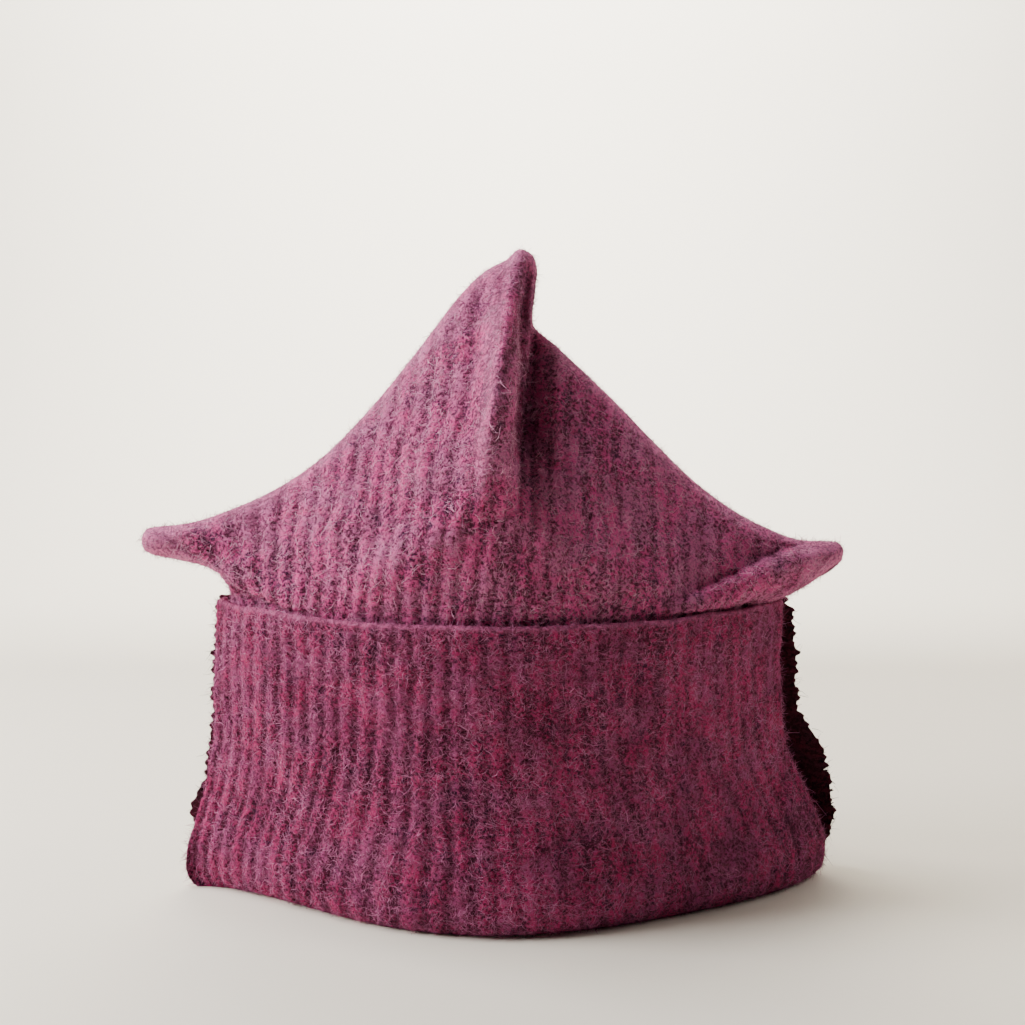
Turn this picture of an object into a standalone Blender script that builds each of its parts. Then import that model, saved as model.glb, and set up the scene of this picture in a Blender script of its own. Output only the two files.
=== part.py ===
"""Felted knit hat: a ribbed tube closed along a top seam with two side horns and a pinched peak,
its lower edge turned up as a front cuff and a back cuff. Millimetres here, metres in the meshes."""
import math

import bmesh
import bpy
import numpy as np
from mathutils import Vector

MM = 0.001
HALF_WIDTH = 108.0          # half the body's width at the cuff's upper edge
HALF_DEPTH = 55.0           # from the side corners to the front at the same height
CUFF_TOP = 107.0            # height of the cuff's upper edge
CROWN_RISE = 131.4          # from the cuff's upper edge to the peak
CLOTH = 3.0                 # felted cloth thickness
GAP = 0.3                   # clearance between neighbouring pieces
CUFF_GAP = 1.2              # room between the cuff and the crown's wall
FOLD_SPRING = 9.0           # height where the bottom fold starts to turn under
FOLD_REACH = 7.5            # half width of the bottom fold
FOLD_FLAT = 1.0             # how much of the fold is pressed flat on the surface
LEG_RISE = 5.0              # how far the fold's inner leg stands above its spring
CORNER_STRETCH = 1.25       # insets are this much longer at the side corners
BACK_DEPTH = 0.95           # depth of the back half against the front half
EDGE_RADIUS = 4.6           # roundness of the top seam
HORN_RADIUS = 5.6           # roundness of the two horns
SHOULDER_SOFTNESS = 0.16    # how gently the front wall bends into the roof
CUFF_WRAP = 0.012           # how far the front cuff wraps behind the corners, in shares of the front
CUFF_SLIT = 0.006           # open slit between the two cuffs, in shares of the front
FLAP_REACH = 0.11           # length of the back cuff's flared ends, in shares of the front
HORN_START = 0.852          # where the horns begin, in half widths from the middle
HORN_BLEND = 0.185          # and how far the rounder edge takes to blend in
BEND_REACH = 0.07           # how far along the seam the corner lines pull the cloth, in shares
FOLD_FADE = 7.0             # the folds fade out this near the cuff
LEAST_DEPTH = 0.5           # the two faces stay this far from the seam's plane

CROWN_FOOT = FOLD_SPRING + LEG_RISE             # lower edge of the crown's wall, inside the fold
FOOT_INSET = 2 * FOLD_REACH - CLOTH             # the crown's foot stands above the fold's inner leg
TOP_INSET = CLOTH + CUFF_GAP                    # and its wall stands inside the cuff

# Body rows: height in cuff tops, left corner x and y, right corner x and y, front y, sharpness left and
# right, and how far the crown has moved from its place at the cuff's top to its foot
BODY = np.array([
    (0.000, -1.106, -0.200, 1.171, 0.109, -1.191, 1.30, 0.95, 1.000),
    (0.131, -1.116, -0.182, 1.176, 0.109, -1.155, 1.25, 0.95, 1.000),
    (0.234, -1.093, -0.145, 1.162, 0.091, -1.109, 1.15, 0.93, 0.744),
    (0.374, -1.035, -0.073, 1.097, 0.055, -1.045, 1.00, 0.90, 0.333),
    (0.523, -1.006, -0.018, 1.035, 0.018, -1.018, 0.90, 0.87, 0.051),
    (0.748, -0.996, 0.000, 1.007, 0.000, -1.000, 0.84, 0.86, 0.000),
    (1.014, -0.987, 0.000, 1.015, 0.000, -1.000, 0.80, 0.86, 0.000),
]) * (CUFF_TOP, HALF_WIDTH, HALF_DEPTH, HALF_WIDTH, HALF_DEPTH, HALF_DEPTH, 1.0, 1.0, FOOT_INSET - TOP_INSET)

# Top seam rows: share of the front, x, height above the cuff
SEAM = np.array([
    (0.0, -1.199, 0.132), (0.005, -1.235, 0.149), (0.011, -1.243, 0.180), (0.02, -1.217, 0.212),
    (0.045, -1.090, 0.222), (0.09, -0.895, 0.272), (0.135, -0.740, 0.333), (0.19, -0.606, 0.408),
    (0.265, -0.412, 0.565), (0.33, -0.258, 0.718), (0.385, -0.106, 0.881), (0.41, -0.030, 0.936),
    (0.432, 0.035, 0.960), (0.452, 0.083, 1.000), (0.47, 0.117, 0.982), (0.486, 0.124, 0.936),
    (0.506, 0.107, 0.852), (0.53, 0.113, 0.791), (0.58, 0.211, 0.711), (0.63, 0.324, 0.629),
    (0.685, 0.437, 0.539), (0.73, 0.537, 0.454), (0.82, 0.743, 0.298), (0.90, 0.935, 0.202),
    (0.955, 1.088, 0.161), (0.98, 1.191, 0.166), (0.989, 1.219, 0.142), (0.995, 1.211, 0.116),
    (1.0, 1.180, 0.100),
])

# Inside seam rows: share of the front, x, height above the cuff
LINING = np.array([
    (0.0, -0.907, 0.152), (0.09, -0.815, 0.255), (0.19, -0.574, 0.373), (0.265, -0.384, 0.525),
    (0.33, -0.231, 0.677), (0.385, -0.093, 0.807), (0.455, 0.037, 0.868), (0.50, 0.065, 0.791),
    (0.535, 0.102, 0.719), (0.63, 0.315, 0.586), (0.73, 0.519, 0.415), (0.82, 0.722, 0.270),
    (0.90, 0.889, 0.183), (1.0, 0.935, 0.107),
])

# Shoulder rows: share of the front, height above the cuff where the front wall bends back
SHOULDER = np.array([
    (0.0, 0.030), (0.12, 0.046), (0.25, 0.129), (0.36, 0.244), (0.45, 0.327), (0.55, 0.205),
    (0.66, 0.122), (0.80, 0.038), (1.0, 0.023),
])

# Control points of the two corner lines that run up and out under the horns: x, height above the cuff
LEFT_BEND = (-0.944, 0.118)
RIGHT_BEND = (1.093, 0.027)

# Folds of the front: rows of x, height above the cuff, half width, rise
FRONT_FOLDS = {
    "pleat": ((0.093, 0.997, 0.046, 0.009), (0.060, 0.799, 0.046, 0.064), (0.028, 0.601, 0.060, 0.073),
              (-0.005, 0.403, 0.083, 0.045), (-0.023, 0.236, 0.111, 0.000)),
    "pleat crease": ((0.148, 0.814, 0.028, -0.027), (0.120, 0.715, 0.042, -0.109),
                     (0.111, 0.586, 0.046, -0.127), (0.102, 0.441, 0.065, -0.091),
                     (0.093, 0.297, 0.083, 0.000)),
    "left hollow": ((-0.389, 0.495, 0.111, -0.036), (-0.370, 0.373, 0.130, -0.082),
                    (-0.370, 0.266, 0.120, 0.000)),
    "right roll": ((1.176, 0.126, 0.056, 0.009), (1.037, 0.084, 0.056, 0.064), (0.889, 0.042, 0.056, 0.073),
                   (0.741, 0.011, 0.060, 0.045), (0.611, 0.000, 0.065, 0.000)),
    "right crease": ((1.056, 0.148, 0.028, -0.005), (0.963, 0.118, 0.042, -0.045),
                     (0.833, 0.084, 0.056, -0.073), (0.704, 0.057, 0.065, 0.000)),
    "left crease": ((-0.954, 0.046, 0.046, -0.009), (-0.833, 0.038, 0.065, -0.045),
                    (-0.667, 0.023, 0.065, 0.000)),
}

# Folds of the back, finished plainly: one soft pleat
BACK_FOLDS = {
    "pleat": ((0.102, 0.982, 0.037, 0.009), (0.111, 0.845, 0.042, 0.055), (0.083, 0.632, 0.065, 0.055),
              (0.046, 0.403, 0.093, 0.000)),
}

# How far the back cuff's ends stand out beyond the front cuff: height in cuff tops, left, right
FLARE = np.array([
    (0.000, 0.006, 0.014), (0.084, 0.007, 0.028), (0.140, 0.011, 0.051), (0.206, 0.019, 0.069),
    (0.299, 0.022, 0.088), (0.374, 0.020, 0.088), (0.467, 0.015, 0.074), (0.561, 0.013, 0.065),
    (0.748, 0.013, 0.063), (1.014, 0.013, 0.042),
]) * (CUFF_TOP, HALF_WIDTH, HALF_WIDTH)


def smooth(rows, x):
    """Every other column of a table as a smooth curve of its first column, without overshoot."""
    x = np.asarray(x, float)
    knots = rows[:, 0]
    step = np.diff(knots)
    index = np.clip(np.searchsorted(knots, x, side="right") - 1, 0, len(knots) - 2)
    share = np.clip((x - knots[index]) / step[index], 0.0, 1.0)
    columns = []
    for values in rows.T[1:]:
        slope = np.diff(values) / step
        tangent = np.empty_like(values)
        left, right = slope[:-1], slope[1:]
        total = np.where(np.abs(left + right) < 1e-9, 1.0, left + right)
        tangent[1:-1] = np.where(left * right > 0, 2 * left * right / total, 0.0)
        tangent[0], tangent[-1] = slope[0], slope[-1]
        s2, s3 = share ** 2, share ** 3
        columns.append((2 * s3 - 3 * s2 + 1) * values[index]
                       + (s3 - 2 * s2 + share) * step[index] * tangent[index]
                       + (3 * s2 - 2 * s3) * values[index + 1]
                       + (s3 - s2) * step[index] * tangent[index + 1])
    return columns


def ease(value):
    """Smooth step from 0 to 1."""
    value = np.clip(value, 0.0, 1.0)
    return value * value * (3.0 - 2.0 * value)


def body_point(share, height, inset):
    """Plan position on the body's ring: share 0 to 1 is the front from left to right, 1 to 2 the back."""
    left_x, left_y, right_x, right_y, front_y, sharp_left, sharp_right = smooth(BODY, height)[:7]
    half = 0.5 * (right_x - left_x) - inset * CORNER_STRETCH
    middle = 0.5 * (right_x + left_x)
    depth = 0.5 * (left_y + right_y) - front_y
    angle = ring_angle(share)
    along, across = -np.cos(angle), np.sin(angle)
    sharp = 0.5 * (sharp_left + sharp_right) + 0.5 * (sharp_right - sharp_left) * along
    reach = np.where(across >= 0, depth - inset, BACK_DEPTH * depth - inset)
    lead = 0.5 * (left_y + right_y) + 0.5 * (right_y - left_y) * along
    return middle + half * along, lead - reach * np.sign(across) * np.abs(across) ** (2 * sharp)


def ring_angle(share):
    """Angle whose arc length along a typical ring is the wanted share of the half ring."""
    angles = np.linspace(-math.pi, 3 * math.pi, 2881)
    x = -HALF_WIDTH * np.cos(angles)
    y = -HALF_DEPTH * np.sign(np.sin(angles)) * np.abs(np.sin(angles)) ** 1.7
    arc = np.concatenate([[0.0], np.cumsum(np.hypot(np.diff(x), np.diff(y)))])
    first, last = np.interp(0.0, angles, arc), np.interp(math.pi, angles, arc)
    return np.interp(share, (arc - first) / (last - first), angles)


def crown_inset(height):
    """How far the crown's outside lies inside the body's ring."""
    return TOP_INSET + smooth(BODY, height)[7]


def seam_point(seam_rows, share):
    """Place of a seam in the upright plane."""
    x, height = smooth(seam_rows, share)
    return HALF_WIDTH * x, CUFF_TOP + CROWN_RISE * height


def crown_plane(share, rise, seam_rows):
    """Position in the upright plane of the seam: rise 0 is the cuff's top, 1 is the seam."""
    lining = seam_rows is LINING
    inset = crown_inset(CUFF_TOP) + (CLOTH if lining else 0.0)
    foot_x, _ = body_point(share, np.full_like(share, CUFF_TOP), inset)
    top_x, top_z = seam_point(seam_rows, share)
    bend_x, bend_z = 0.5 * (foot_x + top_x), 0.5 * (CUFF_TOP + top_z)
    for corner, bend in ((0.0, LEFT_BEND), (1.0, RIGHT_BEND)):
        pull = 0.0 if lining else np.exp(-(np.abs(share - corner) / BEND_REACH) ** 1.5)
        bend_x = bend_x + pull * (HALF_WIDTH * bend[0] - bend_x)
        bend_z = bend_z + pull * (CUFF_TOP + CROWN_RISE * bend[1] - bend_z)
    low, mid, high = (1 - rise) ** 2, 2 * rise * (1 - rise), rise ** 2
    return low * foot_x + mid * bend_x + high * top_x, low * CUFF_TOP + mid * bend_z + high * top_z


def outline_distance(x, z):
    """Distance in the upright plane from the crown's outline, which is the seam and the two corner lines."""
    rise = np.linspace(0.0, 1.0, 25)
    left_x, left_z = crown_plane(np.zeros_like(rise), rise, SEAM)
    right_x, right_z = crown_plane(np.ones_like(rise), rise[::-1], SEAM)
    top_x, top_z = seam_point(SEAM, np.linspace(0.0, 1.0, 241))
    line_x, line_z = np.concatenate([left_x, top_x, right_x]), np.concatenate([left_z, top_z, right_z])
    line = np.stack([line_x, line_z], axis=1)
    nearest = np.full(x.shape, 1e9)
    for start, end in zip(line[:-1], line[1:]):
        span = end - start
        size = max(float(span @ span), 1e-9)
        away_x, away_z = x - start[0], z - start[1]
        along = np.clip((away_x * span[0] + away_z * span[1]) / size, 0.0, 1.0)
        nearest = np.minimum(nearest, np.hypot(away_x - along * span[0], away_z - along * span[1]))
    return nearest


def fold_rise(x, z, folds, widen, only_hollows):
    """Sum of the folds at a place in the upright plane; ridges are left out of the inside."""
    total = np.zeros_like(x)
    for rows in folds.values():
        rows = np.array(rows) * (HALF_WIDTH, CROWN_RISE, HALF_WIDTH, HALF_DEPTH)
        places = np.linspace(0.0, 1.0, 8 * len(rows))
        knots = np.linspace(0.0, 1.0, len(rows))
        line_x, line_z, width, height = [np.interp(places, knots, rows[:, i]) for i in range(4)]
        line_z = CUFF_TOP + line_z
        step = np.hypot(np.gradient(line_x), np.gradient(line_z))
        height = np.minimum(height, 0.0) if only_hollows else height
        for i in range(len(places)):
            spread = width[i] + widen
            away = ((x - line_x[i]) ** 2 + (z - line_z[i]) ** 2) / spread ** 2
            total += height[i] * step[i] / (spread * math.sqrt(math.pi)) * np.exp(-away)
    return total


def crown_point(share, rise, side, inside):
    """A point of the crown above the cuff's top: side -1 is the front, 1 the back."""
    ring_share = share if side < 0 else 2.0 - share
    inset = crown_inset(CUFF_TOP) + (CLOTH if inside else 0.0)
    _, foot_y = body_point(ring_share, np.full_like(share, CUFF_TOP), inset)
    outer_x, outer_z = crown_plane(share, rise, SEAM)
    shoulder = CUFF_TOP + CROWN_RISE * smooth(SHOULDER, share)[0]
    _, top_z = seam_point(SEAM, share)

    def bend(height):
        place = (height - shoulder) / (top_z - shoulder)
        return 0.5 * (place + np.sqrt(place ** 2 + SHOULDER_SOFTNESS ** 2))

    lean = (bend(outer_z) - bend(CUFF_TOP)) / (bend(top_z) - bend(CUFF_TOP))
    panel = np.abs(foot_y) * np.clip(1.0 - lean, 0.0, 1.0)
    horn = ease((np.abs(outer_x) / HALF_WIDTH - HORN_START) / HORN_BLEND)
    radius = EDGE_RADIUS + (HORN_RADIUS - EDGE_RADIUS) * horn
    inward = np.clip(outline_distance(outer_x, outer_z) / radius, 0.0, 1.0)
    roll = 1.0 - (1.0 - ease(lean / 0.4)) * (1.0 - horn)
    edge = radius * np.sqrt(1.0 - (1.0 - inward) ** 2) * roll
    x, z = crown_plane(share, rise, LINING) if inside else (outer_x, outer_z)
    folds = FRONT_FOLDS if side < 0 else BACK_FOLDS
    fade = ease(inward) * ease((outer_z - CUFF_TOP) / FOLD_FADE)
    bulge = fold_rise(x, z, folds, CLOTH if inside else 0.0, inside) * fade
    bulge = np.maximum(bulge, -0.5 * (panel + edge))
    depth = panel + (0.85 if inside else 1.0) * edge + bulge
    rim = (rise >= 1.0) | ((share <= 0.0) | (share >= 1.0))
    depth = np.where(rim, 0.0, np.maximum(depth, LEAST_DEPTH))
    return np.stack([x, side * depth, z], axis=-1)


def crown_sheet(shares, feet, rises, inside):
    """Front and back of one face of the crown as a closed grid of columns; rows climb from foot to seam."""
    heights = np.array(feet)
    insets = crown_inset(heights) + (CLOTH if inside else 0.0)
    columns = []
    for side in (-1, 1):
        chosen = shares if side < 0 else shares[::-1][1:-1]
        for share in chosen:
            ring_share = share if side < 0 else 2.0 - share
            x, y = body_point(np.full_like(heights, ring_share), heights, insets)
            low = np.stack([x, y, heights], axis=-1)
            high = crown_point(np.full_like(rises, share), rises, side, inside)
            columns.append(np.concatenate([low, high]))
    return columns


def mesh_piece(name, build, colour, roughness, collection):
    """One named solid with its own material, made by a function that fills a bmesh."""
    shape = bmesh.new()
    build(shape)
    bmesh.ops.remove_doubles(shape, verts=shape.verts, dist=0.00001)
    bmesh.ops.dissolve_degenerate(shape, edges=shape.edges, dist=0.00001)
    bmesh.ops.triangulate(shape, faces=shape.faces, quad_method="FIXED")
    bmesh.ops.recalc_face_normals(shape, faces=shape.faces)
    mesh = bpy.data.meshes.new(name)
    shape.to_mesh(mesh)
    shape.free()
    piece = bpy.data.objects.new(name, mesh)
    collection.objects.link(piece)
    material = bpy.data.materials.new(name)
    material.use_nodes = True
    shader = material.node_tree.nodes["Principled BSDF"]
    shader.inputs["Base Color"].default_value = (*colour, 1.0)
    shader.inputs["Roughness"].default_value = roughness
    mesh.materials.append(material)
    return piece


def grid_faces(shape, columns, closed, flip=False):
    """Faces between neighbouring columns of vertices."""
    count = len(columns)
    for i in range(count if closed else count - 1):
        a, b = columns[i], columns[(i + 1) % count]
        for j in range(len(a) - 1):
            corners = [a[j], b[j], b[j + 1], a[j + 1]]
            corners = list(dict.fromkeys(corners))
            if len(corners) > 2:
                shape.faces.new(corners[::-1] if flip else corners)


def add_points(shape, points):
    return [shape.verts.new(Vector(point) * MM) for point in points]


def build_crown(shape):
    """The tube wall and the closed top, one shell with an open foot."""
    ends = np.array([0.0, 0.006, 0.012, 0.022, 0.048, 0.085, 0.13])
    shares = np.concatenate([ends, np.linspace(0.18, 0.36, 5), np.linspace(0.395, 0.555, 10),
                             np.linspace(0.61, 0.82, 5), 1.0 - ends[::-1]])
    feet = CROWN_FOOT + (CUFF_TOP - CROWN_FOOT) * np.array([0.0, 0.11, 0.26, 0.45, 0.71, 0.925])
    rises = 1.0 - (1.0 - np.linspace(0.0, 1.0, 22)) ** 1.5
    faces = {}
    for inside in (False, True):
        sheets = crown_sheet(shares, feet, rises, inside)
        rows = []
        front = len(shares)
        for i, points in enumerate(sheets):
            verts = add_points(shape, points[:-1])
            if i < front:
                verts.append(add_points(shape, points[-1:])[0])
            else:
                verts.append(rows[front - 2 - (i - front)][-1])
            rows.append(verts)
        faces[inside] = rows
        grid_faces(shape, rows, True, flip=inside)
    outer, inner = faces[False], faces[True]
    for i in range(len(outer)):
        j = (i + 1) % len(outer)
        shape.faces.new([outer[j][0], outer[i][0], inner[i][0], inner[j][0]])


def cuff_section():
    """Section of a turned-up cuff as rows of height and inset, round the outside then back up the inside."""
    shoulder = CUFF_TOP - 0.4 * CLOTH
    down = np.array([0.0, 0.05, 0.16, 0.31, 0.45, 0.56, 0.64, 0.72, 0.80, 0.89, 0.95])
    heights = shoulder - down * (shoulder - FOLD_SPRING)
    outer = [(height, 0.0) for height in heights]
    inner = [(height, CLOTH) for height in heights]
    turned = FOLD_SPRING + FOLD_FLAT
    under = [(max(0.0, FOLD_SPRING - turned * math.sin(angle)), FOLD_REACH - FOLD_REACH * math.cos(angle))
             for angle in np.linspace(0.0, math.pi, 11)]
    over = [(FOLD_SPRING - (FOLD_SPRING - CLOTH) * math.sin(angle),
             FOLD_REACH - (FOLD_REACH - CLOTH) * math.cos(angle)) for angle in np.linspace(0.0, math.pi, 9)]
    foot = CROWN_FOOT - GAP
    leg = [(foot, 2 * FOLD_REACH), (foot, FOOT_INSET)]
    rim = [(CUFF_TOP, CLOTH * 0.8), (CUFF_TOP + CLOTH * 0.2, CLOTH * 0.5), (CUFF_TOP, CLOTH * 0.2)]
    return outer + under + leg + over[::-1] + inner[::-1] + rim


def build_cuff(shape, shares, flared):
    """A turned-up cuff: its section swept along part of the ring, closed at both ends."""
    section = np.array(cuff_section())
    heights, insets = section[:, 0], section[:, 1]
    columns = []
    for share in shares:
        x, y = body_point(np.full_like(heights, share), np.maximum(heights, 0.0), insets)
        if flared:
            left, right = smooth(FLARE, np.clip(heights, 0.0, CUFF_TOP))
            for end, stand_out, sign in ((shares[0], right, 1.0), (shares[-1], left, -1.0)):
                x = x + sign * stand_out * max(0.0, 1.0 - abs(share - end) / FLAP_REACH) ** 2
        columns.append(add_points(shape, np.stack([x, y, heights], axis=-1)))
    for a, b in zip(columns[:-1], columns[1:]):
        for j in range(len(a)):
            k = (j + 1) % len(a)
            shape.faces.new([a[j], b[j], b[k], a[k]])
    for end in (columns[0], columns[-1]):
        shape.faces.new(end)


def build_front_cuff(shape):
    bends = np.linspace(0.0, 1.0, 5) ** 1.3 * 0.10
    shares = np.concatenate([[-CUFF_WRAP], bends, np.linspace(0.16, 0.84, 13), 1.0 - bends[::-1],
                             [1.0 + CUFF_WRAP]])
    build_cuff(shape, shares, False)


def build_back_cuff(shape):
    start, end = 1.0 + CUFF_WRAP + CUFF_SLIT, 2.0 - CUFF_WRAP - CUFF_SLIT
    bends = np.linspace(0.0, 1.0, 5) * 0.10
    shares = np.concatenate([start + bends, np.linspace(1.19, 1.81, 10), end - bends[::-1]])
    build_cuff(shape, shares, True)


def centre_on_origin(pieces):
    """Move the meshes so that the origin is under the middle of the hat's bounding box."""
    points = [vertex.co for piece in pieces for vertex in piece.data.vertices]
    middle = [0.5 * (min(p[i] for p in points) + max(p[i] for p in points)) for i in range(2)]
    floor = min(p[2] for p in points)
    for piece in pieces:
        for vertex in piece.data.vertices:
            vertex.co -= Vector((middle[0], middle[1], floor))


def main():
    for item in list(bpy.data.objects):
        bpy.data.objects.remove(item, do_unlink=True)
    hat = bpy.data.collections.new("knit_hat")
    bpy.context.scene.collection.children.link(hat)
    pieces = [
        mesh_piece("crown", build_crown, (0.27, 0.075, 0.13), 0.95, hat),
        mesh_piece("front_cuff", build_front_cuff, (0.27, 0.075, 0.13), 0.95, hat),
        mesh_piece("back_cuff", build_back_cuff, (0.055, 0.008, 0.02), 0.95, hat),
    ]
    centre_on_origin(pieces)


main()
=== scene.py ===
import math

import bmesh
import bpy
import mathutils
import numpy as np
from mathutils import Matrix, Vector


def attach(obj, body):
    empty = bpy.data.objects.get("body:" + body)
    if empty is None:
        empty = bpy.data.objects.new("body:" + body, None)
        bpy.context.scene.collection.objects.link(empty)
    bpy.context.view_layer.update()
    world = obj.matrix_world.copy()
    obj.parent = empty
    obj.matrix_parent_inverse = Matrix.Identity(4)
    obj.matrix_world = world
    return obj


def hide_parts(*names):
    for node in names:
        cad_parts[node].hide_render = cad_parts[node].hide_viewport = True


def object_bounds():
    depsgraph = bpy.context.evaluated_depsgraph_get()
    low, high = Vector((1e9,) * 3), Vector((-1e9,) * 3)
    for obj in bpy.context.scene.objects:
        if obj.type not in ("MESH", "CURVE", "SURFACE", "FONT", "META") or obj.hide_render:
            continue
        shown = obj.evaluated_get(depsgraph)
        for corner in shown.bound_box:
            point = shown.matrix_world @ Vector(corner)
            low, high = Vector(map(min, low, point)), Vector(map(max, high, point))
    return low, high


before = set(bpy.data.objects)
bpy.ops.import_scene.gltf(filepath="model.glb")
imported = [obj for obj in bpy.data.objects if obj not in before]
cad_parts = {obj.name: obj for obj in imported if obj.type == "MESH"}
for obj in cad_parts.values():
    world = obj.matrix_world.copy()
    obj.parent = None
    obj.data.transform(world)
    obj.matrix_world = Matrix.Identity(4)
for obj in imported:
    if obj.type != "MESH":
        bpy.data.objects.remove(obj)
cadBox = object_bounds()
print("hat: frame loaded")

# The tables are in millimetres of a hat 238.04 high; the frame says how high it is here.
# The shift brings the tables to the frame's origin.
mm = (cadBox[1][2] - cadBox[0][2]) / 238.04
hat = {
    "shift": (1.3004, 3.6723, 0.0),
    "ribsAcrossFront": 37,
    "rowHeight": 3.4,          # one stitch along a rib
    "cloth": 3.0,
    "cuffTop": 107.0,
    "foldSpring": 9.0,         # where the bottom fold starts to turn under
    "foldReach": 7.5,
    "foldFlat": 1.0,
    "crownFoot": 14.0,
    "cornerStretch": 1.25,
    "backDepth": 0.95,
    "edgeRadius": 4.6,
    "hornRadius": 5.6,
    "shoulderSoftness": 0.16,
}

# height, left corner x and y, right corner x and y, front y, sharpness left and right, crown inset
bodyRows = np.array([
    (0.0, -118.6, -16.0, 127.8, -2.0, -65.5, 1.95, 0.74, 12.0),
    (14.0, -117.4, -14.0, 128.0, 0.0, -63.5, 1.65, 0.77, 12.0),
    (25.0, -114.2, -10.0, 124.4, 2.0, -61.0, 1.45, 0.82, 10.0),
    (40.0, -110.2, -4.0, 117.6, 2.4, -57.5, 1.08, 0.88, 6.8),
    (56.0, -108.4, -1.0, 111.3, 1.0, -56.0, 0.90, 0.87, 4.6),
    (80.0, -107.6, 0.0, 108.8, 0.0, -55.0, 0.84, 0.86, 4.2),
    (108.5, -106.6, 0.0, 109.6, 0.0, -55.0, 0.80, 0.86, 4.2),
])

# share of the front, x, height
seamRows = np.array([
    (0.0, -129.5, 124.4), (0.005, -133.4, 126.6), (0.011, -134.2, 130.6), (0.02, -131.4, 134.8),
    (0.045, -117.7, 136.4), (0.09, -96.7, 143.2), (0.135, -79.9, 151.4), (0.19, -65.4, 161.6),
    (0.265, -44.5, 182.8), (0.33, -27.9, 203.1), (0.385, -11.4, 223.9), (0.41, -3.2, 231.2),
    (0.432, 3.8, 234.8), (0.452, 9.0, 238.8), (0.470, 14.0, 236.0), (0.486, 15.4, 230.0),
    (0.506, 13.6, 219.6), (0.53, 13.6, 212.6), (0.58, 23.4, 202.4), (0.63, 35.4, 191.2),
    (0.685, 47.6, 179.4), (0.73, 58.4, 168.2), (0.82, 80.4, 147.9), (0.90, 101.0, 135.4),
    (0.955, 117.5, 130.0), (0.98, 128.6, 129.6), (0.989, 131.6, 126.2), (0.995, 130.8, 122.4),
    (1.0, 127.4, 120.2),
])
liningRows = np.array([
    (0.0, -98.0, 127.0), (0.09, -88.0, 140.5), (0.19, -62.0, 156.0), (0.265, -41.5, 176.0),
    (0.33, -25.0, 196.0), (0.385, -10.0, 213.0), (0.455, 4.0, 221.0), (0.50, 7.0, 211.0),
    (0.535, 11.0, 201.5), (0.63, 34.0, 184.0), (0.73, 56.0, 161.5), (0.82, 78.0, 142.5),
    (0.90, 96.0, 131.0), (1.0, 101.0, 121.0),
])
# share of the front, height where the front wall bends back
shoulderRows = np.array([
    (0.0, 111.0), (0.12, 113.0), (0.25, 124.0), (0.36, 139.0), (0.45, 150.0), (0.55, 134.0),
    (0.66, 123.0), (0.80, 112.0), (1.0, 110.0),
])
# height, how far the dark cuff stands out at its left and right end
flareRows = np.array([
    (0.0, 0.5, 1.5), (9.0, 0.8, 4.0), (15.0, 1.8, 7.0), (20.0, 3.4, 9.2), (24.5, 6.0, 10.6),
    (29.0, 7.6, 11.8), (34.0, 6.0, 13.8), (40.0, 5.2, 15.2), (49.0, 4.8, 15.0), (58.0, 4.6, 11.8),
    (67.0, 4.8, 9.8), (80.0, 4.8, 9.9), (92.0, 4.6, 9.2), (101.0, 3.8, 7.6), (108.5, 3.0, 5.2),
])
# share of the front at a horn, where the cloth under it bends, how sharply
hornBends = ((0.0, (-99.5, 118.5), 1.6), (1.0, (118.0, 112.0), 0.2))
# soft folds: x, height, half width, rise
frontFolds = {
    "pleatCrest": ((5.0, 236.0, 4.0, 0.5), (1.7, 228.0, 4.0, 2.5), (-0.5, 212.0, 5.0, 3.5),
                   (-1.9, 190.0, 6.0, 4.0), (-3.0, 176.0, 7.0, 4.0), (-4.5, 165.0, 8.0, 3.5),
                   (-5.5, 155.0, 9.0, 2.5), (-6.0, 146.0, 11.0, 1.0), (-6.0, 136.0, 12.0, 0.0)),
    "crestGroove": ((-4.5, 222.0, 2.6, 0.0), (-6.3, 206.0, 2.8, -1.5), (-8.0, 190.0, 3.0, -1.9),
                    (-10.0, 174.0, 3.4, -1.6), (-12.5, 160.0, 4.0, 0.0)),
    "peakGroove": ((13.0, 232.5, 1.4, -1.0), (12.4, 228.0, 1.4, -3.0), (11.4, 221.0, 1.4, -3.0),
                   (10.6, 215.0, 1.4, 0.0)),
    "leftShoulder": ((-6.0, 156.0, 6.0, 1.0), (-13.5, 145.0, 7.0, 2.4), (-24.0, 133.0, 8.0, 2.2),
                     (-42.0, 122.0, 8.0, 1.8), (-60.0, 115.0, 8.0, 0.5)),
    "leftHollow": ((-44.0, 176.0, 12.0, -1.5), (-40.0, 160.0, 13.0, -4.5), (-36.0, 146.0, 12.0, -1.0)),
    "rightShoulder": ((8.0, 150.0, 6.0, 0.8), (16.0, 139.0, 7.0, 2.6), (28.5, 133.5, 7.0, 3.0),
                      (37.0, 129.4, 7.0, 3.0), (46.5, 123.6, 7.0, 2.6), (55.0, 119.4, 7.0, 2.2),
                      (66.5, 115.0, 6.0, 1.4), (77.0, 112.0, 5.0, 0.4)),
    "rightHollow": ((30.0, 158.0, 12.0, -1.0), (48.0, 140.0, 11.0, -2.6), (64.0, 128.0, 9.0, -2.6),
                    (80.0, 120.5, 7.0, -0.8)),
}
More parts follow.
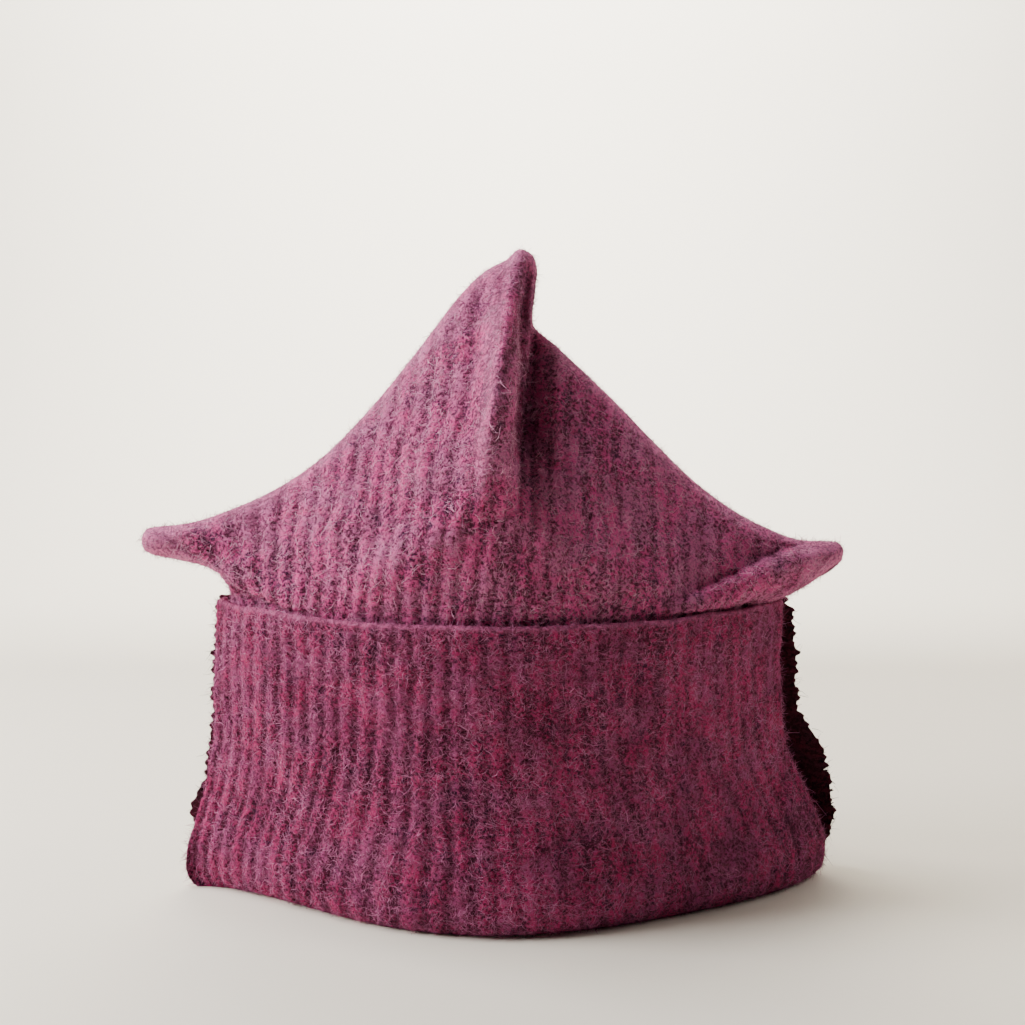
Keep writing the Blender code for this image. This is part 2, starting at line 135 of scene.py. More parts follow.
backFolds = {
    "pleat": ((11.0, 236.0, 4.0, 0.5), (12.0, 218.0, 4.5, 3.0), (9.0, 190.0, 7.0, 3.0),
              (5.0, 160.0, 10.0, 0.0)),
    "leftShoulder": ((-10.0, 150.0, 8.0, 0.5), (-28.0, 134.0, 9.0, 1.6), (-50.0, 121.0, 9.0, 0.5)),
    "rightShoulder": ((20.0, 146.0, 8.0, 0.5), (38.0, 132.0, 9.0, 1.6), (58.0, 120.0, 9.0, 0.5)),
}

# overhanging folds, along the line where the cloth turns under. Facing down the line, the roll is on
# the right-hand side: x, height, roll, its width, hollow beside it, its width, softness of the turn
frontLedges = {
    "pleatEdge": ((11.0, 232.0, 1.0, 4.0, 0.0, 6.0, 1.4), (9.4, 220.0, 7.0, 5.5, 3.0, 7.0, 1.4),
                  (8.6, 211.0, 11.0, 6.5, 8.0, 8.0, 1.4), (8.1, 199.0, 12.0, 7.0, 12.0, 9.0, 1.5),
                  (7.8, 188.0, 11.0, 8.0, 14.0, 10.0, 1.6), (7.2, 176.0, 9.0, 8.5, 14.0, 11.0, 2.0),
                  (6.8, 166.0, 6.5, 9.0, 11.0, 13.0, 3.0), (7.4, 156.0, 3.5, 10.0, 5.0, 14.0, 6.0),
                  (9.0, 147.0, 0.0, 10.0, 0.0, 14.0, 9.0)),
    "rightRoll": ((50.0, 112.0, 0.0, 7.0, 0.0, 7.0, 6.0), (62.0, 113.2, 1.6, 7.5, 0.4, 7.0, 4.5),
                  (70.0, 114.4, 3.2, 7.5, 0.9, 7.0, 2.6), (77.0, 116.2, 4.8, 7.5, 1.4, 7.0, 1.6),
                  (84.0, 118.6, 5.8, 7.5, 1.8, 7.0, 1.3), (91.0, 121.2, 6.2, 7.5, 2.0, 7.0, 1.2),
                  (98.0, 123.8, 6.2, 7.2, 2.2, 7.0, 1.2), (105.0, 126.2, 6.0, 7.0, 2.2, 6.0, 1.2),
                  (111.0, 127.8, 5.0, 6.6, 2.0, 5.0, 1.2), (117.0, 129.4, 3.4, 6.0, 1.0, 4.0, 1.3),
                  (123.0, 131.4, 0.8, 5.0, 0.0, 4.0, 1.6)),
    "leftUnder": ((-62.0, 105.0, 0.0, 5.0, 0.0, 5.0, 4.0), (-74.0, 108.2, 2.2, 5.0, 2.5, 6.0, 2.2),
                  (-84.0, 111.0, 3.2, 5.0, 4.0, 7.0, 1.8), (-93.0, 113.4, 3.2, 5.0, 4.0, 7.0, 1.8),
                  (-101.0, 116.5, 1.5, 5.0, 2.0, 6.0, 2.0), (-108.0, 119.5, 0.0, 5.0, 0.0, 6.0, 2.0)),
}


def ease(value):
    value = np.clip(value, 0.0, 1.0)
    return value * value * (3.0 - 2.0 * value)


def smoothTable(rows, x):
    # every other column as a smooth curve of the first one
    x = np.asarray(x, float)
    knots = rows[:, 0]
    step = np.diff(knots)
    index = np.clip(np.searchsorted(knots, x, side="right") - 1, 0, len(knots) - 2)
    share = np.clip((x - knots[index]) / step[index], 0.0, 1.0)
    s2, s3 = share ** 2, share ** 3
    columns = []
    for values in rows.T[1:]:
        slope = np.diff(values) / step
        tangent = np.empty_like(values)
        left, right = slope[:-1], slope[1:]
        total = np.where(np.abs(left + right) < 1e-9, 1.0, left + right)
        tangent[1:-1] = np.where(left * right > 0, 2 * left * right / total, 0.0)
        tangent[0], tangent[-1] = slope[0], slope[-1]
        columns.append((2 * s3 - 3 * s2 + 1) * values[index]
                       + (s3 - 2 * s2 + share) * step[index] * tangent[index]
                       + (3 * s2 - 2 * s3) * values[index + 1]
                       + (s3 - s2) * step[index] * tangent[index + 1])
    return columns


def ledgeRise(x, z, ledges, onlyHollows):
    # one side of each line stands out as a roll, the other falls into a hollow
    total = np.zeros_like(x)
    for rows in ledges.values():
        rows = np.array(rows)
        knots = np.concatenate([[0.0], np.cumsum(np.hypot(np.diff(rows[:, 0]), np.diff(rows[:, 1])))])
        places = np.linspace(0.0, knots[-1], 41)
        line = np.stack([np.interp(places, knots, column) for column in rows.T], axis=1)
        nearest, side, values = np.full(x.shape, 1e9), np.zeros_like(x), np.zeros(x.shape + (5,))
        for start, end in zip(line[:-1], line[1:]):
            spanX, spanZ = end[:2] - start[:2]
            size = math.hypot(spanX, spanZ)
            awayX, awayZ = x - start[0], z - start[1]
            along = np.clip((awayX * spanX + awayZ * spanZ) / size ** 2, 0.0, 1.0)
            distance = np.hypot(awayX - along * spanX, awayZ - along * spanZ)
            closer = distance < nearest
            nearest = np.where(closer, distance, nearest)
            side = np.where(closer, np.sign(spanX * awayZ - spanZ * awayX), side)
            values = np.where(closer[..., None], start[2:] + along[..., None] * (end[2:] - start[2:]), values)
        away = nearest * side
        roll, rollWidth, hollow, hollowWidth, turn = np.moveaxis(values, -1, 0)
        beyond = ease(away / turn + 0.5)
        if not onlyHollows:
            total += (1.0 - beyond) * roll * np.exp(-((away + 0.6 * rollWidth) / rollWidth) ** 2)
        total -= beyond * hollow * np.exp(-(away / hollowWidth) ** 2)
    return total


def softNoise(x, y, seed):
    # smooth lumps about one unit across, from -1 to 1
    table = np.random.default_rng(seed).uniform(-1.0, 1.0, (256, 256))
    x0, y0 = np.floor(x).astype(int), np.floor(y).astype(int)
    fx, fy = ease(x - x0), ease(y - y0)
    x0, x1, y0, y1 = x0 % 256, (x0 + 1) % 256, y0 % 256, (y0 + 1) % 256
    low = table[x0, y0] * (1 - fx) + table[x1, y0] * fx
    high = table[x0, y1] * (1 - fx) + table[x1, y1] * fx
    return low * (1 - fy) + high * fy


def ringAngle(share):
    angles = np.linspace(-math.pi, 3 * math.pi, 2881)
    x, y = -105.0 * np.cos(angles), -54.0 * np.sign(np.sin(angles)) * np.abs(np.sin(angles)) ** 1.7
    arc = np.concatenate([[0.0], np.cumsum(np.hypot(np.diff(x), np.diff(y)))])
    first, last = np.interp(0.0, angles, arc), np.interp(math.pi, angles, arc)
    return np.interp(share, (arc - first) / (last - first), angles)


def bodyPoint(share, height, inset):
    # place on the body's ring: share 0 to 1 is the front from left to right, 1 to 2 the back
    leftX, leftY, rightX, rightY, frontY, sharpLeft, sharpRight = smoothTable(bodyRows, height)[:7]
    half = 0.5 * (rightX - leftX) - inset * hat["cornerStretch"]
    middle = 0.5 * (rightX + leftX)
    depth = 0.5 * (leftY + rightY) - frontY
    angle = ringAngle(share)
    along, across = -np.cos(angle), np.sin(angle)
    sharp = 0.5 * (sharpLeft + sharpRight) + 0.5 * (sharpRight - sharpLeft) * along
    sharp = np.where(across >= 0, sharp, np.minimum(sharp, 1.0 + 0.3 * (sharp - 1.0)))
    reach = np.where(across >= 0, depth - inset, hat["backDepth"] * depth - inset)
    lead = 0.5 * (leftY + rightY) + 0.5 * (rightY - leftY) * along
    return middle + half * along, lead - reach * np.sign(across) * np.abs(across) ** (2 * sharp)


def crownPlane(share, rise, rows):
    # place in the upright plane of the seam: rise 0 is the cuff's top, 1 the seam
    top = hat["cuffTop"]
    lining = rows is liningRows
    inset = smoothTable(bodyRows, top)[7] + (hat["cloth"] if lining else 0.0)
    footX, _ = bodyPoint(share, np.full_like(share, top), inset)
    topX, topZ = smoothTable(rows, share)
    bendX, bendZ = 0.5 * (footX + topX), 0.5 * (top + topZ)
    weight = np.ones_like(bendX)
    for corner, bend, sharper in hornBends:
        pull = np.exp(-(np.abs(share - corner) / 0.07) ** 1.5) * (0.0 if lining else 1.0)
        bendX, bendZ = bendX + pull * (bend[0] - bendX), bendZ + pull * (bend[1] - bendZ)
        weight = weight + sharper * pull
    low, mid, high = (1 - rise) ** 2, 2 * rise * (1 - rise) * weight, rise ** 2
    total = low + mid + high
    return (low * footX + mid * bendX + high * topX) / total, (low * top + mid * bendZ + high * topZ) / total


def outlineDistance(x, z):
    rise = np.linspace(0.0, 1.0, 25)
    leftX, leftZ = crownPlane(np.zeros_like(rise), rise, seamRows)
    rightX, rightZ = crownPlane(np.ones_like(rise), rise[::-1], seamRows)
    topX, topZ = smoothTable(seamRows, np.linspace(0.0, 1.0, 241))
    line = np.stack([np.concatenate([leftX, topX, rightX]), np.concatenate([leftZ, topZ, rightZ])], axis=1)
    nearest = np.full(x.shape, 1e9)
    for start, end in zip(line[:-1], line[1:]):
        span = end - start
        size = max(float(span @ span), 1e-9)
        along = np.clip(((x - start[0]) * span[0] + (z - start[1]) * span[1]) / size, 0.0, 1.0)
        awayX, awayZ = x - start[0] - along * span[0], z - start[1] - along * span[1]
        nearest = np.minimum(nearest, np.hypot(awayX, awayZ))
    return nearest


def foldRise(x, z, folds, widen, onlyHollows):
    total = np.zeros_like(x)
    for rows in folds.values():
        rows = np.array(rows)
        places, knots = np.linspace(0.0, 1.0, 8 * len(rows)), np.linspace(0.0, 1.0, len(rows))
        lineX, lineZ, width, height = [np.interp(places, knots, rows[:, i]) for i in range(4)]
        step = np.hypot(np.gradient(lineX), np.gradient(lineZ))
        height = np.minimum(height, 0.0) if onlyHollows else height
        for i in range(len(places)):
            spread = width[i] + widen
            away = ((x - lineX[i]) ** 2 + (z - lineZ[i]) ** 2) / spread ** 2
            total += height[i] * step[i] / (spread * math.sqrt(math.pi)) * np.exp(-away)
    return total


def crownPoint(share, rise, side, inside):
    # a point of the crown above the cuff's top: side -1 is the front, 1 the back
    top = hat["cuffTop"]
    inset = smoothTable(bodyRows, top)[7] + (hat["cloth"] if inside else 0.0)
    _, footY = bodyPoint(np.where(side < 0, share, 2.0 - share), np.full_like(share, top), inset)
    outerX, outerZ = crownPlane(share, rise, seamRows)
    shoulder, = smoothTable(shoulderRows, share)
    _, topZ = smoothTable(seamRows, share)

    def bend(height):
        place = (height - shoulder) / (topZ - shoulder)
        return 0.5 * (place + np.sqrt(place ** 2 + hat["shoulderSoftness"] ** 2))

    lean = (bend(outerZ) - bend(top)) / (bend(topZ) - bend(top))
    panel = np.abs(footY) * np.clip(1.0 - lean, 0.0, 1.0)
    horn = ease((np.abs(outerX) - 92.0) / 20.0)
    radius = hat["edgeRadius"] + (hat["hornRadius"] - hat["edgeRadius"]) * horn
    inward = np.clip(outlineDistance(outerX, outerZ) / radius, 0.0, 1.0)
    roll = 1.0 - (1.0 - ease(lean / 0.4)) * (1.0 - horn)
    edge = radius * np.sqrt(1.0 - (1.0 - inward) ** 2) * roll
    x, z = crownPlane(share, rise, liningRows) if inside else (outerX, outerZ)
    fade = ease(inward) * ease((outerZ - top) / 7.0)
    front = foldRise(x, z, frontFolds, 3.0 if inside else 0.0, inside) * fade
    front = front + ledgeRise(x, z, frontLedges, inside) * ease(inward * 1.6) * ease((outerZ - top) / 3.0)
    back = foldRise(x, z, backFolds, 3.0 if inside else 0.0, inside) * fade
    bulge = np.maximum(np.where(side < 0, front, back), -0.7 * (panel + edge))
    depth = np.maximum(panel + (0.85 if inside else 1.0) * edge + bulge, 0.5)
    depth = np.where((rise >= 1.0) | (share <= 0.0) | (share >= 1.0), 0.0, depth)
    return np.stack([x, side * depth, z], axis=-1)


def surfaceNormals(points, roundTheHat):
    # outward normals of a grid of points, columns along the first axis
    if roundTheHat:
        along = np.concatenate([points[-2:-1], points, points[1:2]])
        along = along[2:] - along[:-2]
    else:
        along = np.gradient(points, axis=0)
    normals = np.cross(np.gradient(points, axis=1), along)
    return normals / np.maximum(np.linalg.norm(normals, axis=-1, keepdims=True), 1e-9)


def knitSheet(name, points, uv, **tones):
    # a flat grid, laid where the cloth lies and closed where its edges meet
    columns, rows = points.shape[0] - 1, points.shape[1] - 1
    flat = bmesh.new()
    bmesh.ops.create_grid(flat, x_segments=columns, y_segments=rows, size=1.0)
    mesh = bpy.data.meshes.new(name)
    flat.to_mesh(mesh)
    flat.free()
    place = np.empty(len(mesh.vertices) * 3)
    mesh.vertices.foreach_get("co", place)
    place = place.reshape(-1, 3)
    column = np.rint((place[:, 0] + 1.0) * 0.5 * columns).astype(int)
    row = np.rint((place[:, 1] + 1.0) * 0.5 * rows).astype(int)
    placed = (points[column, row] + np.array(hat["shift"])) * mm
    mesh.vertices.foreach_set("co", placed.ravel())
    corner = np.empty(len(mesh.loops), dtype=np.int32)
    mesh.loops.foreach_get("vertex_index", corner)
    layer = mesh.uv_layers.new(name="knit")
    layer.data.foreach_set("uv", uv[column[corner], row[corner]].ravel())
    for toneName, tone in tones.items():
        attribute = mesh.attributes.new(toneName, "FLOAT", "POINT")
        attribute.data.foreach_set("value", tone[column, row])
    cloth = bmesh.new()
    cloth.from_mesh(mesh)
    bmesh.ops.remove_doubles(cloth, verts=cloth.verts, dist=0.000002)
    bmesh.ops.dissolve_degenerate(cloth, edges=cloth.edges, dist=0.000001)
    bmesh.ops.recalc_face_normals(cloth, faces=cloth.faces)
    for face in cloth.faces:
        face.smooth = True
    cloth.to_mesh(mesh)
    cloth.free()
    piece = bpy.data.objects.new(name, mesh)
    bpy.context.scene.collection.objects.link(piece)
    return piece


def screen(red, green, blue):
    # a colour as a screen shows it, made linear for the shader
    shares = [c / 255.0 for c in (red, green, blue)]
    return tuple(((c + 0.055) / 1.055) ** 2.4 if c > 0.04 else c / 12.92 for c in shares) + (1.0,)


class shaderBench:
    # a material and its nodes, one short call a node
    def __init__(self, name):
        self.material = bpy.data.materials.new(name)
        self.material.use_nodes = True
        self.tree = self.material.node_tree
        self.shader = self.tree.nodes["Principled BSDF"]

    def add(self, kind, settings=None, **inputs):
        made = self.tree.nodes.new(kind)
        for key, value in (settings or {}).items():
            setattr(made, key, value)
        for key, value in inputs.items():
            self.join(value, made.inputs[int(key[1:]) if key[1:].isdigit() else key])
        return made

    def join(self, value, socket):
        if isinstance(value, bpy.types.NodeSocket):
            self.tree.links.new(value, socket)
        else:
            socket.default_value = value

    def math(self, operation, a, b=0.0):
        return self.add("ShaderNodeMath", {"operation": operation}, i0=a, i1=b).outputs[0]

    def ramp(self, value, low, high, outLow=0.0, outHigh=1.0):
        made = self.add("ShaderNodeMapRange", {"interpolation_type": "SMOOTHSTEP"},
                        i0=value, i1=low, i2=high, i3=outLow, i4=outHigh)
        return made.outputs[0]

    def mix(self, share, a, b):
        made = self.tree.nodes.new("ShaderNodeMix")
        made.data_type = "RGBA"
        self.join(share, made.inputs[0])
        self.join(a, made.inputs[6])
        self.join(b, made.inputs[7])
        return made.outputs[2]

    def noise(self, vector, perMetre, detail=2.0, rough=0.5, distort=0.0):
        made = self.add("ShaderNodeTexNoise", Vector=vector, Scale=perMetre, Detail=detail, Roughness=rough,
                        Distortion=distort)
        return made.outputs[0]

    def attribute(self, name):
        return self.add("ShaderNodeAttribute", {"attribute_name": name}).outputs["Fac"]


crownFelt = {
    "ground": screen(60, 12, 36),          # dark ply between the fibres
    "navy": screen(40, 17, 50),
    "raspberry": screen(220, 78, 146),
    "lilac": screen(202, 104, 156),
    "rose": screen(200, 40, 100),
    "fibre": screen(238, 138, 188),
    "furrow": screen(26, 4, 16),
    "grain": 900.0,                        # tufts to a metre
    "open": 0.02,                          # more of this shows less of the dark ply
    "furrowDepth": 0.62,
    "fibreShow": 0.6,
}
cuffFelt = {
    "ground": screen(52, 8, 30),
    "navy": screen(34, 12, 42),
    "raspberry": screen(186, 46, 106),
    "lilac": screen(160, 68, 118),
    "rose": screen(172, 22, 68),
    "fibre": screen(212, 112, 160),
    "furrow": screen(20, 2, 12),
    "grain": 900.0,
    "open": 0.0,
    "furrowDepth": 0.68,
    "fibreShow": 0.55,
}
maroonYarn = {
    "ground": screen(34, 6, 16),
    "navy": screen(20, 6, 16),
    "raspberry": screen(70, 16, 34),
    "lilac": screen(56, 20, 34),
    "rose": screen(84, 17, 38),
    "fibre": screen(100, 38, 60),
    "furrow": screen(12, 2, 7),
    "grain": 700.0,
    "open": 0.0,
    "furrowDepth": 0.6,
    "fibreShow": 0.3,
}


def feltMaterial(name, look):
    bench = shaderBench(name)
    knit = bench.add("ShaderNodeUVMap", {"uv_map": "knit"}).outputs[0]
    split = bench.add("ShaderNodeSeparateXYZ", Vector=knit)
    rib, row = split.outputs[0], split.outputs[1]
    body = bench.add("ShaderNodeTexCoord").outputs["Object"]
    bodyX = bench.add("ShaderNodeSeparateXYZ", Vector=body).outputs[0]

    def around(value, amount):
        return bench.math("MULTIPLY", bench.math("SUBTRACT", value, 0.5), amount)

    def total(first, *rest):
        for value in rest:
            first = bench.math("ADD", first, value)
        return first

    # marled yarn lies in streaks along the ribs, clouds of it lie across them
    along = bench.add("ShaderNodeCombineXYZ", X=bench.math("MULTIPLY", rib, 0.8),
                      Y=bench.math("MULTIPLY", row, 0.17)).outputs[0]
    streak = bench.noise(along, 1.0, 3.0, 0.65)
    cloud = bench.noise(body, 46.0, 3.0, 0.6)
    tuft = bench.noise(body, 380.0, 2.0, 0.6)
    grain = bench.noise(body, look["grain"], 3.0, 0.72, 0.3)

    # furrows between the ribs, with a dark dot where one stitch meets the next, partly dark ply and partly
    # painted shade in the recess; towards the right side of the hat the furrows are fainter
    fromFurrow = bench.math("MULTIPLY", bench.math("PINGPONG", total(rib, around(tuft, 0.35)), 0.5), 2.0)
    furrow = bench.ramp(fromFurrow, 0.1, 0.56, 1.0, 0.0)
    stitch = bench.math("MULTIPLY", bench.math("PINGPONG", total(row, around(tuft, 0.8)), 0.5), 2.0)
    dot = bench.ramp(total(stitch, around(grain, 0.7)), 0.3, 0.75, 1.0, 0.15)
    towardsRight = bench.ramp(bodyX, -0.04, 0.05, 1.0, 0.45)
    clear = bench.math("MULTIPLY", towardsRight, bench.ramp(streak, 0.4, 0.62, 1.0, 0.5))
    hole = bench.math("MULTIPLY", bench.math("MULTIPLY", furrow, dot), clear)

    tone = total(grain, around(streak, 0.2), around(cloud, 0.2), around(tuft, 0.25),
                 around(fromFurrow, 0.08), look["open"])
    lit = bench.ramp(tone, 0.42, 0.58)
    ground = bench.mix(bench.ramp(bench.noise(body, 125.0, 2.0), 0.5, 0.64), look["ground"], look["navy"])
    cool = bench.ramp(bench.noise(body, 72.0, 3.0, 0.6), 0.42, 0.6)
    light = bench.mix(cool, look["raspberry"], look["lilac"])
    warm = bench.ramp(bench.noise(body, 150.0, 3.0, 0.65), 0.56, 0.7, 0.0, 0.5)
    light = bench.mix(warm, light, look["rose"])
    colour = bench.mix(lit, ground, light)
    # painted shade: furrows and stitch gaps are darkened towards the furrow colour
    colour = bench.mix(bench.math("MULTIPLY", hole, look["furrowDepth"]), colour, look["furrow"])

    # tangled fibres: thin lines where a twisted noise crosses its middle value
    lines = []
    for perMetre, twist, width in ((590.0, 1.8, 0.045), (950.0, 1.4, 0.06)):
        field = bench.noise(body, perMetre, 1.0, 0.5, twist)
        lines.append(bench.ramp(bench.math("ABSOLUTE", around(field, 1.0)), 0.0, width, 1.0, 0.0))
    fibres = bench.math("MAXIMUM", lines[0], bench.math("MULTIPLY", lines[1], 0.8))
    showing = bench.ramp(total(cloud, around(tuft, 0.5)), 0.35, 0.65, 0.3, 1.0)
    strength = bench.math("MULTIPLY", bench.math("MULTIPLY", fibres, showing), look["fibreShow"])
    colour = bench.mix(strength, colour, look["fibre"])

    # painted highlight on the pleat crest and partly on the seam's rim; paler horn tips and cuff rim
    pale = bench.math("MULTIPLY", bench.attribute("pale"), bench.ramp(grain, 0.3, 0.6, 0.35, 1.0))
    colour = bench.mix(pale, colour, look["fibre"])
    # painted shade: the shade attribute darkens the inside, the covered crown wall and the deep folds
    deep = bench.mix(0.7, colour, look["furrow"])
    colour = bench.mix(bench.attribute("shade"), deep, colour)
    bench.join(colour, bench.shader.inputs["Base Color"])

    height = total(bench.math("MULTIPLY", lit, 0.7), bench.math("MULTIPLY", fibres, 0.35),
                   bench.math("MULTIPLY", tuft, 0.9), bench.math("MULTIPLY", hole, -1.3))
    bump = bench.add("ShaderNodeBump", Strength=0.85, Distance=0.0006, Height=height)
    bench.join(bump.outputs[0], bench.shader.inputs["Normal"])
    bench.join(bench.ramp(grain, 0.3, 0.7, 0.98, 0.84), bench.shader.inputs["Roughness"])
    bench.shader.inputs["Specular IOR Level"].default_value = 0.12
    bench.shader.inputs["Sheen Weight"].default_value = 0.3
    bench.shader.inputs["Sheen Roughness"].default_value = 0.5
    bench.shader.inputs["Sheen Tint"].default_value = look["fibre"]
    return bench.material


def fuzzMaterial(name, pale, deep):
    bench = shaderBench(name)
    tint = bench.attribute("tint")
    body = bench.add("ShaderNodeTexCoord").outputs["Object"]
    mottled = bench.math("ADD", tint, bench.ramp(bench.noise(body, 60.0, 2.0), 0.3, 0.7, -0.2, 0.2))
    bench.join(bench.mix(mottled, deep, pale), bench.shader.inputs["Base Color"])
    bench.shader.inputs["Roughness"].default_value = 0.85
    bench.shader.inputs["Specular IOR Level"].default_value = 0.15
    return bench.material


def ribRelief(rib, row, look, clear):
    # rounded ribs with narrow furrows, small stitches along them, soft felted lumps and woolly grain
    ridge = 0.5 * (1.0 - np.cos(2 * math.pi * rib))
    stitches = np.cos(2 * math.pi * row)
    relief = clear * (look["ribHeight"] * (ridge ** 0.65 - 0.62)
                      + look["stitchHeight"] * stitches * (1.2 - ridge))
    relief += look["lumpHeight"] * softNoise(rib * 0.8, row * 0.45, 11)
    relief += look["lumpHeight"] * 0.5 * softNoise(rib * 2.1, row * 1.1, 12)
    relief += look["woolHeight"] * softNoise(rib * 4.9, row * 2.6, 13)
    relief += look["swellHeight"] * softNoise(rib * 0.19 + 3.0, row * 0.1 + 5.0, 14)
    return relief


crownLook = {
    "columns": 600,
    "roofRows": 118,
    "ribHeight": 0.82,
    "stitchHeight": 0.22,
    "lumpHeight": 0.45,
    "woolHeight": 0.2,
    "swellHeight": 0.4,
    "seamPaleAndRimHighlight": 0.6,           # how much paler the seam is, partly felted edge and partly painted rim highlight, and how wide
    "paleReach": 3.4,
    "paintedCrestHighlight": 0.4,
    "paintedCreaseShade": 0.76,         # painted shade in the deep folds, how much darker
}


def makeCrown():
    columns = crownLook["columns"]
    even = np.linspace(0.0, 1.0, columns // 2 + 1)
    # columns stand closer at the horns and at the pleat
    front = even - (0.2 * np.sin(2 * math.pi * even) + 0.175 * np.sin(4 * math.pi * even)) / (2 * math.pi)
    front[-1] = 1.0
    share = np.concatenate([front, 2.0 - front[::-1][1:]])
    side = np.where(np.arange(columns + 1) <= columns // 2, -1.0, 1.0)
    onFront = np.where(side < 0, share, 2.0 - share)
    rises = 1.0 - (1.0 - np.linspace(0.0, 1.0, crownLook["roofRows"] + 1)) ** 1.3
    outerFeet = np.array([104.5, 102.0, 99.0, 94.0, 84.0, 70.0, 56.0, 46.0, 38.0, 30.0, 22.0,
                          hat["crownFoot"]])
    innerFeet = np.array([hat["crownFoot"], 24.0, 38.0, 56.0, 76.0, 94.0])
    innerRises = np.array([0.0, 0.1, 0.2, 0.3, 0.4, 0.5, 0.6, 0.7, 0.8, 0.88, 0.94, 0.98, 1.0])

    def roof(climb, inside):
        return np.stack([crownPoint(onFront, np.full_like(share, r), side, inside) for r in climb], axis=1)

    def wall(heights, extra):
        x, y = bodyPoint(share[:, None] + 0.0 * heights, heights + 0.0 * share[:, None],
                         (smoothTable(bodyRows, heights)[7] + extra)[None, :])
        return np.stack([x, y, heights + 0.0 * share[:, None]], axis=-1)

    outer = np.concatenate([roof(rises[::-1], False), wall(outerFeet, 0.0)], axis=1)
    inner = np.concatenate([wall(innerFeet, hat["cloth"]), roof(innerRises, True)], axis=1)
    normals = surfaceNormals(outer, True)
    length = np.cumsum(np.linalg.norm(np.diff(outer, axis=1), axis=-1), axis=1)
    length = np.concatenate([np.zeros((len(share), 1)), length], axis=1)
    length = length[:, crownLook["roofRows"]][:, None] - length
    rib = share[:, None] * hat["ribsAcrossFront"] + 0.0 * length
    row = length / hat["rowHeight"]
    hornFade = ease((0.5 - np.abs(onFront - 0.5)) / 0.045)[:, None]
    rib = rib + 0.22 * softNoise(rib * 0.35, row * 0.22, 5) * hornFade
    steep = (rises[::-1] < 1.0).astype(float)
    seamFade = np.concatenate([ease((1.0 - rises[::-1]) / 0.05) * steep, np.ones(len(outerFeet))])[None, :]
    footFade = np.concatenate([np.ones(len(rises)), ease((outerFeet - 88.0) / 14.0)])[None, :]
    clear = 1.0 - 0.5 * ease((outer[..., 0] + 30.0) / 80.0)
    relief = ribRelief(rib, row, crownLook, clear) * (0.25 + 0.75 * seamFade) * seamFade ** 0.5
    relief = relief * (0.3 + 0.7 * hornFade) * footFade
    raised = outer + normals * relief[..., None]
    onRoof = np.concatenate([np.ones(len(rises)), np.zeros(len(outerFeet))])[None, :]
    # painted shade: the crown's wall below the roof, inside the cuff, is darker
    shade = 0.45 + 0.55 * onRoof + 0.0 * rib
    # painted shade: the front's deep fold hollows are darkened through the shade attribute
    hollow = np.clip(-ledgeRise(outer[..., 0], outer[..., 2], frontLedges, True) / 10.0 - 0.15, 0.0, 1.0)
    shade = shade * (1.0 - crownLook["paintedCreaseShade"] * hollow * (side < 0)[:, None])
    # paler near the seam: partly felted edge, partly painted rim highlight
    toEdge = outlineDistance(outer[..., 0], outer[..., 2])
    flat = np.abs(outer[..., 1]) < 14.0
    pale = crownLook["seamPaleAndRimHighlight"] * np.exp(-(toEdge / crownLook["paleReach"]) ** 2) * onRoof * flat
    pale += 0.4 * ease((np.abs(outer[..., 0]) - 112.0) / 12.0) * onRoof
    # painted highlight along the front pleat's crest
    crest = np.array(frontFolds["pleatCrest"])[::-1]
    fromCrest = outer[..., 0] - np.interp(outer[..., 2], crest[:, 1], crest[:, 0])
    onCrest = ease((outer[..., 2] - 146.0) / 20.0) * (side < 0)[:, None] * onRoof
    pale += crownLook["paintedCrestHighlight"] * np.exp(-(fromCrest / 3.2) ** 2) * onCrest
    points = np.concatenate([raised, inner], axis=1)
    uv = np.stack([rib, row], axis=-1)
    innerUv = np.stack([rib[:, -1:] + 0.0 * inner[..., 0], inner[..., 2] / hat["rowHeight"]], axis=-1)
    # painted shade: the lining inside the crown is darker
    piece = knitSheet("crownKnit", points, np.concatenate([uv, innerUv], axis=1),
                      shade=np.concatenate([shade, np.full(inner.shape[:2], 0.6)], axis=1),
                      pale=np.concatenate([pale, np.zeros(inner.shape[:2])], axis=1))
    visible = slice(0, len(rises) + 1)
    return piece, raised[:, visible], normals[:, visible]


cuffLook = {
    "columnsPerRib": 10,
    "ribHeight": 0.88,
    "stitchHeight": 0.24,
    "lumpHeight": 0.42,
    "woolHeight": 0.2,
    "swellHeight": 0.9,
    "lean": 1.3,               # ribs pulled aside at the lower left
    "rimWave": 0.5,
    "rimPale": 0.75,
    "wrap": 0.012,             # how far the front cuff goes round the corners
    "lowWrap": 0.04,           # and how much further at the lower left
    "slit": 0.006,             # between the two cuffs
    "flapReach": 0.11,         # how far from its end the dark cuff starts to flare
}
frontLength = 240.0            # of the cloth from corner to corner
endSteps = np.array([0.0, 0.15, 0.4, 0.8, 1.4]) / frontLength     # closer columns at a cuff's ends


